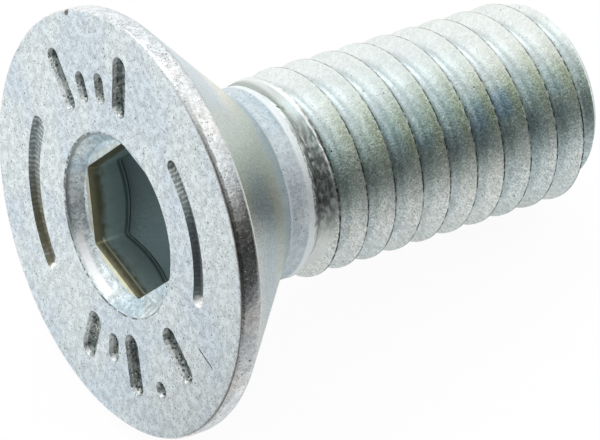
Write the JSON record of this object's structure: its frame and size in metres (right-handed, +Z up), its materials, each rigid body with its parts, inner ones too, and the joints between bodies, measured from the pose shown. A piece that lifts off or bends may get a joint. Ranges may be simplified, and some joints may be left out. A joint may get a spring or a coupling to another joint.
{
  "type": "countersunk socket screw",
  "caption": "Countersunk machine screw with a flat head, a hexagon socket, a plain neck and a coarse right-hand thread, lying on its side.",
  "frame": {"origin": "middle of the screw's box, on the ground it lies on", "axes": "+X from the head to the point, level with the ground, +Z up; the screw lies on its rim and its last full crest, so its own axis slopes down to the point by 12.7 degrees"},
  "size_m": [0.0216, 0.016, 0.0157],
  "materials": {
    "zinc_plated_steel": "blue-white zinc plating on forged steel: satin and finely pitted on the face, brighter on the rolled thread"
  },
  "bodies": {
    "root": {"screw": "zinc_plated_steel"}
  },
  "joints": []
}
